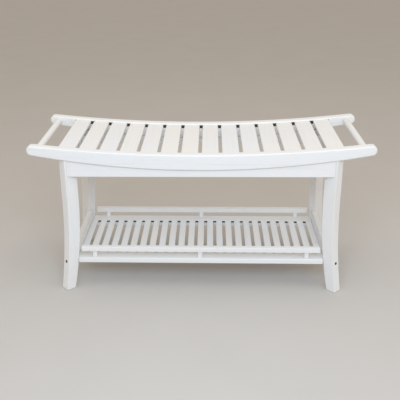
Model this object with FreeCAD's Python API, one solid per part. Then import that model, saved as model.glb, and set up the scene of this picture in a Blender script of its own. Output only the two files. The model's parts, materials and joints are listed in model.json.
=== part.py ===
import FreeCAD, Part
import math
import os

from FreeCAD import Placement, Rotation, Vector

# Spa bench with a dished slatted seat, diagonal flared legs and a slatted shelf.
# Millimetres. X runs along the seat, Y from front to back, Z up. Z is 0 on the floor.

# The whole bench
seat_length = 1010.0         # over the rounded tips of the seat rails
seat_depth = 354.0           # over the outer faces of the seat rails
seat_height = 442.0          # top of the seat rails at mid length
seat_dish = 27.5             # how far the rails' top edge climbs from the middle to the nose

# Fits shared by all the pieces
wood_gap = 0.2               # between two wooden faces that meet
bore_gap = 0.15              # between a fastener and its hole, on the radius
cut_overrun = 6.0            # how far a cutting shape runs past the face that it cuts

# Seat rails
rail_thickness = 28.0
rail_middle_height = 48.3
rail_tip_height = 30.0
rail_nose_depth = 13.0

# Seat slats
slat_count = 14
slat_gap = 10.0
slat_thickness = 10.0
slat_recess = 6.0            # slat tops lie this far below the rails' top edge
slat_groove_depth = 7.0      # of the grooves in the rails that house the slats' ends

# Handle bars between the rails' tips
handle_diameter = 20.0
handle_inset = 30.0          # from the rail's tip to the bar's axis
handhold_width = 46.5        # clear way between a bar and the outermost slat
handle_tenon_diameter = 14.0
handle_tenon_length = 14.0

# Aprons under the rails
apron_setback = 6.0          # apron's face behind the rail's face
apron_middle_depth = 20.7    # apron below the rail at mid length

# Legs, boards that stand in the diagonal of each corner
leg_inset = 109.0            # from the rail's tip to the leg's front corner, at the top
leg_setback = 2.0            # leg's front corner behind the rail's face, at the top
leg_thickness = 29.0
leg_top_width = 42.0
leg_foot_width = 32.0
leg_flare = 26.0             # how far the foot swings out along the diagonal
leg_bend_height = 285.0      # the leg is straight above this height

# Corner blocks inside the apron frame
block_thickness = 20.0
block_raise = 4.0            # above the aprons' bottom edge
block_drop = 24.0            # below the slats' undersides

# Shelf
shelf_setback = 13.5         # stretcher's outer edge behind the rail's face
shelf_top = 101.0
stretcher_width = 42.0
stretcher_thickness = 16.0
shelf_slat_count = 25
shelf_slat_gap = 10.3
shelf_slat_thickness = 7.0
ledger_width = 10.0
end_board_thickness = 15.5
end_board_height = 49.5
end_board_overhang = 1.0     # outer face beyond the legs' front corners

# Gallery, the small fence along the shelf's front and back
gallery_end_gap = 14.0       # between a gallery rail's end and the end board
gallery_setback = 2.0        # behind the stretcher's outer edge
gallery_rail_depth = 18.0
gallery_rail_height = 15.5
post_count = 3
post_width = 13.5
post_depth = 10.0
post_height = 20.5
post_inset = 40.5            # from the gallery rail's end to the first post's axis

# Hanger bolts that hold the legs to the corner blocks
hanger_diameter = 6.0
hanger_bite = 24.0           # screwed into the leg
hanger_end = 6.0             # thread left past the nut
washer_diameter = 16.0
washer_thickness = 1.5
nut_width = 10.0             # across its flats
nut_height = 5.0

# Bolts that hold the shelf to the legs
shelf_bolt_diameter = 6.0
shelf_bolt_head_diameter = 9.0
shelf_bolt_head_height = 5.0
shelf_bolt_socket_width = 4.0
shelf_bolt_socket_depth = 3.0
shelf_bolt_sink = 13.0       # head's seat below the leg's outer face
shelf_bolt_reach = 30.0      # past the leg, into the shelf
barrel_nut_diameter = 10.0
barrel_nut_height = 12.0
barrel_nut_inset = 21.0      # from the leg to the barrel nut's axis

# Wood screws, brads and pins
screw_diameter = 4.0
screw_head_diameter = 8.0
screw_head_height = 2.5
apron_screw_count = 4
apron_screw_slat_count = 2   # slats from one apron screw to the next
apron_screw_length = 32.0
apron_screw_bite = 18.0      # into a rail
gallery_screw_sink = 3.0
gallery_screw_bite = 8.0     # into a gallery rail
brad_diameter = 1.8
brad_bite = 4.0              # into a shelf slat
pin_diameter = 6.0
pin_slat_bite = 6.0
pin_apron_bite = 14.0
pin_place_share = 0.2        # of the seat's depth, from the middle

SIDES = {"left": -1, "right": 1}
FACES = {"front": -1, "back": 1}
UP = Vector(0, 0, 1)
DIAGONAL = math.sqrt(0.5)


def arch_radius(half_width, rise):
    """Radius of an arc that climbs by rise over half_width."""
    return (half_width ** 2 + rise ** 2) / (2 * rise)


def arch_rise(radius, x):
    """Climb of an arc of that radius at a distance x from its lowest point."""
    return radius - math.sqrt(radius ** 2 - x ** 2)


# Sizes that follow from the ones above
half_length = seat_length / 2
rail_outer_y = seat_depth / 2
rail_inner_y = rail_outer_y - rail_thickness
nose_x = half_length - rail_nose_depth
rail_bottom = seat_height - rail_middle_height
rail_top_radius = arch_radius(nose_x, seat_dish)
rail_bottom_radius = arch_radius(nose_x, seat_dish + rail_middle_height - rail_tip_height)

handle_x = half_length - handle_inset
slat_field = 2 * (handle_x - handle_diameter / 2 - handhold_width)
slat_width = (slat_field - (slat_count - 1) * slat_gap) / slat_count
slat_pitch = slat_width + slat_gap
slat_length = 2 * (rail_inner_y + slat_groove_depth - wood_gap)
slat_top = seat_height - slat_recess
slat_top_radius = rail_top_radius + slat_recess
slat_bottom = slat_top - slat_thickness
slat_bottom_radius = slat_top_radius + slat_thickness
under_slats = slat_bottom - wood_gap
under_slats_radius = slat_bottom_radius + wood_gap

apron_bottom = rail_bottom - apron_middle_depth
apron_outer_y = rail_outer_y - apron_setback
apron_thickness = apron_outer_y - rail_inner_y
apron_middle_y = apron_outer_y - apron_thickness / 2
apron_screw_step = apron_screw_slat_count * slat_pitch

leg_corner_x = half_length - leg_inset
leg_corner_y = rail_outer_y - leg_setback
leg_outer_x = leg_corner_x + leg_thickness * DIAGONAL
leg_outer_radius = arch_radius(leg_bend_height, leg_flare)
leg_inner_radius = arch_radius(leg_bend_height, leg_flare + leg_top_width - leg_foot_width)

end_apron_outer_x = leg_outer_x - (apron_setback - leg_setback)
end_apron_inner_x = end_apron_outer_x - apron_thickness
end_apron_middle_x = end_apron_outer_x - apron_thickness / 2
end_apron_shoulder = rail_bottom + arch_rise(rail_bottom_radius, end_apron_outer_x) + wood_gap

block_outer_out = -leg_top_width - wood_gap
block_inner_out = block_outer_out - block_thickness
block_inner_x = leg_corner_x + leg_corner_y + block_inner_out / DIAGONAL - rail_inner_y
block_bottom = apron_bottom + block_raise
block_top = slat_bottom + arch_rise(slat_bottom_radius, block_inner_x) - block_drop
hanger_height = (block_bottom + block_top) / 2

stretcher_outer_y = rail_outer_y - shelf_setback
stretcher_inner_y = stretcher_outer_y - stretcher_width
shelf_bottom = shelf_top - stretcher_thickness
end_board_inner_x = leg_corner_x + end_board_overhang - end_board_thickness
shelf_half_length = end_board_inner_x - wood_gap
shelf_slat_field = 2 * (shelf_half_length - wood_gap)
shelf_slat_width = (shelf_slat_field - (shelf_slat_count - 1) * shelf_slat_gap) / shelf_slat_count
shelf_slat_pitch = shelf_slat_width + shelf_slat_gap
shelf_slat_length = 2 * (stretcher_inner_y - wood_gap)
ledger_top = shelf_top - shelf_slat_thickness
ledger_middle_y = stretcher_inner_y - ledger_width / 2
shelf_bolt_height = shelf_bottom + stretcher_thickness / 2

gallery_half_length = end_board_inner_x - gallery_end_gap
gallery_outer_y = stretcher_outer_y - gallery_setback
gallery_middle_y = gallery_outer_y - gallery_rail_depth / 2
gallery_bottom = shelf_top + post_height


# Helpers

def save(node, solids):
    """Write one node; a group of like pieces keeps its separate solids."""
    Part.makeCompound(solids).exportStep("parts/" + node + ".step")


def block(x_span, y_span, z_span):
    """Rectangular solid between two limits on each axis."""
    low = Vector(min(x_span), min(y_span), min(z_span))
    high = Vector(max(x_span), max(y_span), max(z_span))
    size = high - low
    return Part.makeBox(size.x, size.y, size.z, low)


def prism(points, direction):
    """Solid swept from a flat outline of straight edges."""
    return Part.Face(Part.makePolygon(points + points[:1])).extrude(direction)


def board(edges, direction):
    """Solid swept from a flat outline of straight and round edges."""
    return Part.Face(Part.Wire(Part.__sortEdges__(edges))).extrude(direction)


def line(start, end):
    return Part.LineSegment(start, end).toShape()


def arc(start, middle, end):
    return Part.Arc(start, middle, end).toShape()


def turned(start, direction, length, diameter):
    """Round bar from a start point along a direction."""
    return Part.makeCylinder(diameter / 2, length, start, direction)


def bore(start, direction, length, diameter):
    """Hole for a round fastener, eased by the bore gap."""
    return turned(start, direction, length, diameter + 2 * bore_gap)


def hexagon(width, length, start, direction):
    """Hexagonal bar, measured across its flats."""
    corner = width / math.sqrt(3)
    points = []
    for turn in range(6):
        angle = math.radians(60 * turn)
        points.append(Vector(corner * math.cos(angle), corner * math.sin(angle), 0))
    bar = prism(points, UP * length)
    bar.Placement = Placement(start, Rotation(UP, direction))
    return bar


def screw(start, direction, length):
    """Pan-head wood screw whose head bears at the start point."""
    shank = turned(start, direction, length, screw_diameter)
    head = turned(start, -direction, screw_head_height, screw_head_diameter)
    return shank.fuse(head).removeSplitter()


def arch_edge(low, radius, half_width, y):
    """Arc in a plane of constant Y that climbs to both sides of its lowest point."""
    high = low + arch_rise(radius, half_width)
    return arc(Vector(-half_width, y, high), Vector(0, y, low), Vector(half_width, y, high))


def on_both_faces(places):
    """The places that a function gives for the front and then for the back."""
    return [place for face in FACES.values() for place in places(face)]


def space_above(low, radius):
    """Everything above an arch, over the whole seat: what is cut off pieces that meet it from below."""
    half_width = half_length + cut_overrun
    y = -rail_outer_y - cut_overrun
    side = low + arch_rise(radius, half_width)
    top = seat_height + seat_dish + rail_middle_height
    edges = [
        arch_edge(low, radius, half_width, y),
        line(Vector(half_width, y, side), Vector(half_width, y, top)),
        line(Vector(half_width, y, top), Vector(-half_width, y, top)),
        line(Vector(-half_width, y, top), Vector(-half_width, y, side)),
    ]
    return board(edges, Vector(0, -2 * y, 0))


# Seat

def handle_place(side):
    """Axis of a handle bar at mid depth, halfway up the rails."""
    top = seat_height + arch_rise(rail_top_radius, handle_x)
    bottom = rail_bottom + arch_rise(rail_bottom_radius, handle_x)
    return Vector(side * handle_x, 0, (top + bottom) / 2)


def handle(side):
    """Round bar with a thinner tenon at each end."""
    depth = Vector(0, 1, 0)
    middle = handle_place(side)
    bar_length = 2 * (rail_inner_y - wood_gap)
    full_length = 2 * (rail_inner_y + handle_tenon_length)
    bar = turned(middle - depth * (bar_length / 2), depth, bar_length, handle_diameter)
    tenon = turned(middle - depth * (full_length / 2), depth, full_length, handle_tenon_diameter)
    return bar.fuse(tenon).removeSplitter()


def slat_place(index):
    """Where a seat slat's top middle lies, tilted along the dish."""
    turn = (index - (slat_count - 1) / 2) * slat_pitch / rail_top_radius
    up = Vector(-math.sin(turn), 0, math.cos(turn))
    centre = Vector(0, 0, slat_top + slat_top_radius)
    middle = centre - up * slat_top_radius
    return Placement(middle, Rotation(Vector(0, 1, 0), -math.degrees(turn)))


def pin_places(side):
    """Lower ends and directions of the pins between an end apron and the outermost slat."""
    index = slat_count - 1 if side > 0 else 0
    place = slat_place(index)
    up = place.Rotation.multVec(UP)
    along = place.Rotation.multVec(Vector(1, 0, 0))
    under = place.multVec(Vector(0, 0, -slat_thickness))
    under = under + along * ((side * end_apron_middle_x - under.x) / along.x)
    places = []
    for face in FACES.values():
        shift = Vector(0, face * seat_depth * pin_place_share, 0)
        places.append((under + shift - up * pin_apron_bite, up))
    return places


def pin_bores(side):
    length = pin_apron_bite + pin_slat_bite + wood_gap
    return [bore(start, up, length, pin_diameter) for start, up in pin_places(side)]


def end_slat_pins():
    length = pin_apron_bite + pin_slat_bite
    places = pin_places(SIDES["left"]) + pin_places(SIDES["right"])
    return [turned(start, up, length, pin_diameter) for start, up in places]


def seat_slat(index):
    """Flat slat with its ends in the rails' grooves; the outermost two are bored for their pins."""
    slat = Part.makeBox(slat_width, slat_length, slat_thickness,
                        Vector(-slat_width / 2, -slat_length / 2, -slat_thickness))
    slat.Placement = slat_place(index)
    if index == 0:
        return slat.cut(pin_bores(SIDES["left"]))
    if index == slat_count - 1:
        return slat.cut(pin_bores(SIDES["right"]))
    return slat


def slat_groove(face):
    """Housing for the slats' ends in a rail's inner face, closed beyond the outermost slats."""
    corner = slat_place(slat_count - 1).multVec(Vector(slat_width / 2, 0, -slat_thickness))
    half_width = corner.x + wood_gap
    y = face * (rail_inner_y + slat_groove_depth)
    over_slats = slat_top + wood_gap
    over_slats_radius = slat_top_radius - wood_gap
    top = over_slats + arch_rise(over_slats_radius, half_width)
    bottom = under_slats + arch_rise(under_slats_radius, half_width)
    edges = [
        arch_edge(over_slats, over_slats_radius, half_width, y),
        arch_edge(under_slats, under_slats_radius, half_width, y),
        line(Vector(half_width, y, bottom), Vector(half_width, y, top)),
        line(Vector(-half_width, y, bottom), Vector(-half_width, y, top)),
    ]
    return board(edges, Vector(0, -face * (slat_groove_depth + cut_overrun), 0))


def apron_screw_places(face):
    """Under-head points of the screws up through an apron into its rail."""
    places = []
    for step in range(apron_screw_count):
        x = (step - (apron_screw_count - 1) / 2) * apron_screw_step
        z = rail_bottom + arch_rise(rail_bottom_radius, x) + apron_screw_bite - apron_screw_length
        places.append(Vector(x, face * apron_middle_y, z))
    return places


def apron_screws():
    places = on_both_faces(apron_screw_places)
    return [screw(start, UP, apron_screw_length) for start in places]


def apron_screw_bores(face):
    """Holes for the apron screws, with a wider run up from the apron's bottom edge to the head."""
    holes = []
    for start in apron_screw_places(face):
        holes.append(bore(start, UP, apron_screw_length + wood_gap, screw_diameter))
        depth = start.z - apron_bottom + cut_overrun
        holes.append(bore(start, -UP, depth, screw_head_diameter))
    return holes


def seat_rail(face):
    """Long rail: dished top, deeper belly, round noses, a groove for the slats, holes for the handles."""
    y = face * rail_outer_y
    top = seat_height + seat_dish
    bottom = top - rail_tip_height
    middle = (top + bottom) / 2
    edges = [
        arch_edge(seat_height, rail_top_radius, nose_x, y),
        arch_edge(rail_bottom, rail_bottom_radius, nose_x, y),
    ]
    for side in SIDES.values():
        edges.append(arc(Vector(side * nose_x, y, top),
                         Vector(side * half_length, y, middle),
                         Vector(side * nose_x, y, bottom)))
    rail = board(edges, Vector(0, -face * rail_thickness, 0))
    holes = [slat_groove(face)] + apron_screw_bores(face)
    for side in SIDES.values():
        start = handle_place(side) + Vector(0, face * (rail_inner_y - cut_overrun), 0)
        length = cut_overrun + handle_tenon_length + wood_gap
        holes.append(bore(start, Vector(0, face, 0), length, handle_tenon_diameter))
    return rail.cut(holes)


# Legs and the frame round the seat

def leg_point(side, face, out, across, height):
    """Point of a leg, out along the corner's diagonal and across its thickness from the front corner."""
    x = leg_corner_x + (out + across) * DIAGONAL
    y = leg_corner_y + (out - across) * DIAGONAL
    return Vector(side * x, face * y, height)


def leg_outwards(side, face):
    return Vector(side * DIAGONAL, face * DIAGONAL, 0)


def leg_across(side, face):
    return Vector(side * DIAGONAL, -face * DIAGONAL, 0)


def leg_outer(height):
    """How far out the leg's outer edge lies at a height."""
    return arch_rise(leg_outer_radius, max(leg_bend_height - height, 0))


def leg_inner(height):
    """How far out the leg's inner edge lies at a height."""
    return arch_rise(leg_inner_radius, max(leg_bend_height - height, 0)) - leg_top_width


def leg_edge(side, face, across, profile, shift):
    """One long edge of a leg from the top down to the floor: a straight run, then the flare."""
    heights = (seat_height, leg_bend_height, leg_bend_height / 2, 0)
    top, bend, middle, foot = [leg_point(side, face, profile(z) + shift, across, z) for z in heights]
    return [line(top, bend), arc(bend, middle, foot)], top, foot


def hanger_start(side, face):
    """Inner end of a hanger bolt, inside the leg."""
    return leg_point(side, face, hanger_bite - leg_top_width, leg_thickness / 2, hanger_height)


def hanger_length():
    return hanger_bite + wood_gap + block_thickness + washer_thickness + nut_height + hanger_end


def shelf_bolt_seat(side, face):
    """Point under the head of a shelf bolt, sunk in the leg's outer edge."""
    out = leg_outer(shelf_bolt_height) - shelf_bolt_sink
    return leg_point(side, face, out, leg_thickness / 2, shelf_bolt_height)


def shelf_bolt_length():
    out = leg_outer(shelf_bolt_height) - shelf_bolt_sink
    return out - leg_inner(shelf_bolt_height) + shelf_bolt_reach


def shelf_bolt_bore(side, face):
    start = shelf_bolt_seat(side, face)
    return bore(start, -leg_outwards(side, face), shelf_bolt_length() + wood_gap, shelf_bolt_diameter)


def leg(side, face):
    """Diagonal board with a flared foot, its top shaped to the rail's underside."""
    outer, outer_top, outer_foot = leg_edge(side, face, 0, leg_outer, 0)
    inner, inner_top, inner_foot = leg_edge(side, face, 0, leg_inner, 0)
    edges = outer + inner + [line(outer_top, inner_top), line(outer_foot, inner_foot)]
    plank = board(edges, leg_across(side, face) * leg_thickness)
    outwards = leg_outwards(side, face)
    head_room = shelf_bolt_sink + leg_flare + cut_overrun
    hanger_hole = bore(hanger_start(side, face), -outwards, hanger_length(), hanger_diameter)
    head_hole = bore(shelf_bolt_seat(side, face), outwards, head_room, shelf_bolt_head_diameter)
    above = space_above(rail_bottom, rail_bottom_radius)
    return plank.cut([above, hanger_hole, head_hole, shelf_bolt_bore(side, face)])


def leg_side_space(side, face, low, high, top):
    """Slab of space along a leg's wide faces, between two distances across its thickness, up to a height."""
    reach = leg_top_width + seat_depth / 2
    points = [
        leg_point(side, face, -reach, low, 0),
        leg_point(side, face, reach, low, 0),
        leg_point(side, face, reach, high, 0),
        leg_point(side, face, -reach, high, 0),
    ]
    return prism(points, UP * top)


def apron(face):
    """Apron that fills under a rail, mitred against the legs' wide faces."""
    y = face * apron_outer_y
    half = leg_corner_x
    side_top = rail_bottom + arch_rise(rail_bottom_radius, half)
    edges = [
        arch_edge(rail_bottom, rail_bottom_radius, half, y),
        line(Vector(half, y, side_top), Vector(half, y, apron_bottom)),
        line(Vector(half, y, apron_bottom), Vector(-half, y, apron_bottom)),
        line(Vector(-half, y, apron_bottom), Vector(-half, y, side_top)),
    ]
    panel = board(edges, Vector(0, -face * apron_thickness, 0))
    cuts = apron_screw_bores(face)
    for side in SIDES.values():
        cuts.append(leg_side_space(side, face, -wood_gap, seat_depth / 2, seat_height))
    return panel.cut(cuts)


def end_apron(side):
    """Apron between a front and a back leg, shouldered over their tops, under the outermost slat."""
    half_depth = rail_inner_y - wood_gap
    panel = block((side * end_apron_outer_x, side * end_apron_inner_x),
                  (-half_depth, half_depth),
                  (apron_bottom, seat_height + seat_dish))
    cuts = pin_bores(side) + [space_above(under_slats, under_slats_radius)]
    for face in FACES.values():
        across = leg_thickness + wood_gap
        cuts.append(leg_side_space(side, face, -seat_depth / 2, across, end_apron_shoulder))
    return panel.cut(cuts)


def corner_block(side, face):
    """Block across a corner, behind the leg's inner edge, between the two aprons."""
    x_limit = end_apron_inner_x - wood_gap
    y_limit = rail_inner_y - wood_gap
    corners = []
    for out in (block_outer_out, block_inner_out):
        reach = leg_corner_x + leg_corner_y + out / DIAGONAL
        corners.append([(reach - y_limit, y_limit), (x_limit, reach - x_limit)])
    plan = corners[0] + corners[1][::-1]
    points = [Vector(side * x, face * y, block_bottom) for x, y in plan]
    wedge = prism(points, UP * (block_top - block_bottom))
    inwards = -leg_outwards(side, face)
    return wedge.cut(bore(hanger_start(side, face), inwards, hanger_length(), hanger_diameter))


def hanger_bolt(side, face):
    return turned(hanger_start(side, face), -leg_outwards(side, face), hanger_length(), hanger_diameter)


def hanger_washer(side, face):
    inwards = -leg_outwards(side, face)
    start = leg_point(side, face, block_inner_out, leg_thickness / 2, hanger_height)
    disc = turned(start, inwards, washer_thickness, washer_diameter)
    return disc.cut(bore(start, inwards, washer_thickness, hanger_diameter))


def hanger_nut(side, face):
    inwards = -leg_outwards(side, face)
    start = leg_point(side, face, block_inner_out - washer_thickness, leg_thickness / 2, hanger_height)
    body = hexagon(nut_width, nut_height, start, inwards)
    return body.cut(bore(start, inwards, nut_height, hanger_diameter))


# Shelf

def corner_clip(side, face, low):
    """Space outside a leg's inner edge, from low across its thickness, that clips the shelf's corners."""
    inner, inner_top, inner_foot = leg_edge(side, face, low, leg_inner, -wood_gap)
    far = leg_flare + leg_top_width
    far_top = leg_point(side, face, far, low, inner_top.z)
    far_foot = leg_point(side, face, far, low, inner_foot.z)
    edges = inner + [line(inner_top, far_top), line(far_top, far_foot), line(far_foot, inner_foot)]
    return board(edges, leg_across(side, face) * (2 * stretcher_outer_y))


def post_places(face):
    """Post feet on the stretcher, spread evenly along the gallery."""
    first = gallery_half_length - post_inset
    step = 2 * first / (post_count - 1)
    return [Vector(index * step - first, face * gallery_middle_y, shelf_top) for index in range(post_count)]


def gallery_screw_places(face):
    below = Vector(0, 0, stretcher_thickness - gallery_screw_sink)
    return [place - below for place in post_places(face)]


def gallery_screw_length():
    return stretcher_thickness - gallery_screw_sink + post_height + gallery_screw_bite


def gallery_screws():
    places = on_both_faces(gallery_screw_places)
    return [screw(start, UP, gallery_screw_length()) for start in places]


def gallery_screw_bores(face):
    holes = []
    for start in gallery_screw_places(face):
        holes.append(bore(start, UP, gallery_screw_length() + wood_gap, screw_diameter))
        holes.append(bore(start, -UP, gallery_screw_sink + cut_overrun, screw_head_diameter))
    return holes


def barrel_nut_middle(side, face):
    out = leg_inner(shelf_bolt_height) - barrel_nut_inset
    return leg_point(side, face, out, leg_thickness / 2, shelf_bolt_height)


def barrel_nut(side, face):
    """Upright round nut with a cross hole for its bolt."""
    start = barrel_nut_middle(side, face) - UP * (barrel_nut_height / 2)
    return turned(start, UP, barrel_nut_height, barrel_nut_diameter).cut(shelf_bolt_bore(side, face))


def barrel_nut_hole(side, face):
    """Hole up from the stretcher's underside."""
    middle = barrel_nut_middle(side, face)
    start = Vector(middle.x, middle.y, shelf_bottom - cut_overrun)
    length = middle.z + barrel_nut_height / 2 + wood_gap - start.z
    return bore(start, UP, length, barrel_nut_diameter)


def shelf_bolt(side, face):
    """Socket-head bolt from the leg's outer edge into the shelf's corner."""
    seat = shelf_bolt_seat(side, face)
    outwards = leg_outwards(side, face)
    shank = turned(seat, -outwards, shelf_bolt_length(), shelf_bolt_diameter)
    head = turned(seat, outwards, shelf_bolt_head_height, shelf_bolt_head_diameter)
    socket_floor = seat + outwards * (shelf_bolt_head_height - shelf_bolt_socket_depth)
    socket = hexagon(shelf_bolt_socket_width, shelf_bolt_socket_depth + cut_overrun, socket_floor, outwards)
    return shank.fuse(head).removeSplitter().cut(socket)


def stretcher_tip_cut(side, face):
    """Space that squares off the part of a stretcher's end in front of a leg."""
    tip = leg_point(side, face, leg_inner(shelf_top), 0, shelf_top)
    return block((tip.x - side * wood_gap, side * (shelf_half_length + cut_overrun)),
                 (tip.y, face * (stretcher_outer_y + cut_overrun)),
                 (shelf_bottom - cut_overrun, shelf_top + cut_overrun))


def stretcher(face):
    """Flat board along the shelf, its ends notched round the legs' inner edges."""
    plank = block((-shelf_half_length, shelf_half_length),
                  (face * stretcher_outer_y, face * stretcher_inner_y),
                  (shelf_bottom, shelf_top))
    cuts = gallery_screw_bores(face)
    for side in SIDES.values():
        cuts += [corner_clip(side, face, -wood_gap), stretcher_tip_cut(side, face)]
        cuts += [shelf_bolt_bore(side, face), barrel_nut_hole(side, face)]
    return plank.cut(cuts)


def end_board(side):
    """Upright board that closes an end of the shelf, its ends clipped against the legs."""
    panel = block((side * end_board_inner_x, side * (end_board_inner_x + end_board_thickness)),
                  (-stretcher_outer_y, stretcher_outer_y),
                  (shelf_bottom, shelf_bottom + end_board_height))
    cuts = []
    for face in FACES.values():
        cuts += [corner_clip(side, face, -stretcher_outer_y), shelf_bolt_bore(side, face)]
    return panel.cut(cuts)


def shelf_slat_x(index):
    return (index - (shelf_slat_count - 1) / 2) * shelf_slat_pitch


def brad_bore(index, face, start_z, length):
    start = Vector(shelf_slat_x(index), face * ledger_middle_y, start_z)
    return bore(start, UP, length, brad_diameter)


def shelf_slat(index):
    x = shelf_slat_x(index)
    slat = block((x - shelf_slat_width / 2, x + shelf_slat_width / 2),
                 (-shelf_slat_length / 2, shelf_slat_length / 2),
                 (ledger_top, shelf_top))
    return slat.cut([brad_bore(index, face, ledger_top, brad_bite + wood_gap) for face in FACES.values()])


def shelf_slats():
    return [shelf_slat(index) for index in range(shelf_slat_count)]


def shelf_brads():
    brads = []
    for face in FACES.values():
        for index in range(shelf_slat_count):
            start = Vector(shelf_slat_x(index), face * ledger_middle_y, shelf_bottom)
            brads.append(turned(start, UP, ledger_top - shelf_bottom + brad_bite, brad_diameter))
    return brads


def ledger(face):
    """Strip along a stretcher's inner edge that carries the shelf slats."""
    strip = block((-shelf_half_length, shelf_half_length),
                  (face * stretcher_inner_y, face * (stretcher_inner_y - ledger_width)),
                  (shelf_bottom, ledger_top))
    length = ledger_top - shelf_bottom + 2 * cut_overrun
    holes = []
    for index in range(shelf_slat_count):
        holes.append(brad_bore(index, face, shelf_bottom - cut_overrun, length))
    return strip.cut(holes)


def gallery_rail(face):
    rail = block((-gallery_half_length, gallery_half_length),
                 (face * gallery_outer_y, face * (gallery_outer_y - gallery_rail_depth)),
                 (gallery_bottom, gallery_bottom + gallery_rail_height))
    return rail.cut(gallery_screw_bores(face))


def gallery_post(place, face):
    post = block((place.x - post_width / 2, place.x + post_width / 2),
                 (place.y - post_depth / 2, place.y + post_depth / 2),
                 (shelf_top, gallery_bottom))
    return post.cut(gallery_screw_bores(face))


def at_corners(make):
    """The four copies of a piece that every corner has."""
    return [make(side, face) for face in FACES.values() for side in SIDES.values()]


# Write the nodes
os.makedirs("parts", exist_ok=True)

for face_name, face in FACES.items():
    save("seat_rail_" + face_name, [seat_rail(face)])
    save("apron_" + face_name, [apron(face)])
    save("shelf_stretcher_" + face_name, [stretcher(face)])
    save("shelf_ledger_" + face_name, [ledger(face)])
    save("gallery_rail_" + face_name, [gallery_rail(face)])
    for number, place in enumerate(post_places(face), start=1):
        save("gallery_post_" + face_name + "_" + str(number), [gallery_post(place, face)])
    for side_name, side in SIDES.items():
        save("leg_" + face_name + "_" + side_name, [leg(side, face)])
        save("corner_block_" + face_name + "_" + side_name, [corner_block(side, face)])

for side_name, side in SIDES.items():
    save("handle_bar_" + side_name, [handle(side)])
    save("apron_" + side_name, [end_apron(side)])
    save("shelf_end_board_" + side_name, [end_board(side)])

for index in range(slat_count):
    save("seat_slat_%02d" % (index + 1), [seat_slat(index)])

save("shelf_slats", shelf_slats())
save("shelf_slat_brads", shelf_brads())
save("seat_end_slat_pins", end_slat_pins())
save("apron_screws", apron_screws())
save("gallery_screws", gallery_screws())
save("leg_hanger_bolts", at_corners(hanger_bolt))
save("leg_hanger_washers", at_corners(hanger_washer))
save("leg_hanger_nuts", at_corners(hanger_nut))
save("shelf_bolts", at_corners(shelf_bolt))
save("shelf_barrel_nuts", at_corners(barrel_nut))
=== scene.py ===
"""Looks of a white painted spa bench: dished slatted seat, flared diagonal legs and a low slatted shelf."""

import json
import logging
import math
from dataclasses import dataclass
from enum import Enum
from typing import Any, Callable, Sequence

import bmesh
import bpy
from mathutils import Matrix, Vector

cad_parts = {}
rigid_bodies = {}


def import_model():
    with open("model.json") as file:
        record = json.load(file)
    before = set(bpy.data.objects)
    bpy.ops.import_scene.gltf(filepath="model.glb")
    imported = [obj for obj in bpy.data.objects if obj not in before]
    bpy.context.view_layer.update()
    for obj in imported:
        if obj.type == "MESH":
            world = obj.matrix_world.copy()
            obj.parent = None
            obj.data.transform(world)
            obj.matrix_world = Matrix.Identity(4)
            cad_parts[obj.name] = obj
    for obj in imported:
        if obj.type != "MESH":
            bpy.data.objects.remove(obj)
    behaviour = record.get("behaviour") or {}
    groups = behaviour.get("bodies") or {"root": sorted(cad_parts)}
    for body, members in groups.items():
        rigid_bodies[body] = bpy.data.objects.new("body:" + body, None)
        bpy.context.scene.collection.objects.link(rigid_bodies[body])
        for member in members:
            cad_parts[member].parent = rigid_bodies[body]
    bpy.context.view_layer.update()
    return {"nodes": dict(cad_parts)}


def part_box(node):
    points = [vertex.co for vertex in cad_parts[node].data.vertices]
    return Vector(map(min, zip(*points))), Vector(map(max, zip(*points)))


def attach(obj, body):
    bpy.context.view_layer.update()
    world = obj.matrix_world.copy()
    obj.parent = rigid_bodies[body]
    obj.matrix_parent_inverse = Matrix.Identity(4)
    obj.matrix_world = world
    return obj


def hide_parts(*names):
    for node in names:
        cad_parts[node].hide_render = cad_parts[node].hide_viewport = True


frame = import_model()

BODY = "root"
LOG = logging.getLogger("spa_bench")

PAINT_SLOT = "white_paint"            # the record's names of two finishes
STEEL_SLOT = "zinc_steel"
STEEL_NODES = ("leg_hanger_bolts", "leg_hanger_washers", "leg_hanger_nuts", "shelf_bolts",
               "shelf_barrel_nuts", "shelf_slat_brads")
BEECH_NODES = ("seat_end_slat_pins",)

UP = Vector((0.0, 0.0, 1.0))
BACKWARDS = Vector((0.0, 1.0, 0.0))   # from the front of the bench to its back
DIAGONAL = math.sqrt(0.5)
ARRIS_STEPS = 4                       # flats round one eased edge
SHARP_ANGLE = math.radians(50.0)      # edges steeper than this are left crisp
ARRIS_ANGLES = (math.radians(13.0), math.radians(20.0))  # turns between which the paint thins
HOLE_STEPS = 28                       # flats round a drilled hole
CORNER_SHARE = 1.25                   # a corner that shows is rounder than its arris by this much
MILLIMETRES_PER_METRE = 1000.0

SRGB_TOP = 255.0                      # a channel's greatest value in a hex code
SRGB_SLOPE = 12.92                    # the curve from sRGB to linear: straight up to the knee, a power above
SRGB_KNEE = 0.04045
SRGB_OFFSET = 0.055
SRGB_POWER = 2.4

MIX_FACTOR = 0                        # sockets of a Mix node that mixes two colours
MIX_FIRST = 6
MIX_SECOND = 7
MIX_RESULT = 2
RANDOM_LEAST = 2                      # sockets of a Random Value node that gives plain numbers
RANDOM_MOST = 3
RANDOM_RESULT = 1

Point = tuple[float, float]
Place = Callable[[float, float, float], Vector]
Aimed = tuple[Vector, Vector]         # a point, and the direction that leaves it
Socket = bpy.types.NodeSocket


class Side(Enum):
    """Ends of the bench, seen from the front."""

    LEFT = -1
    RIGHT = 1


class Face(Enum):
    """Long sides of the bench."""

    FRONT = -1
    BACK = 1


class Grain(Enum):
    """Axis that a board's fibres run along."""

    X = 0
    Y = 1
    Z = 2


def word(choice: Enum) -> str:
    """Name of a side, face or axis, as the names of pieces and finishes spell it."""
    return choice.name.lower()


# Colour and nodes

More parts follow.
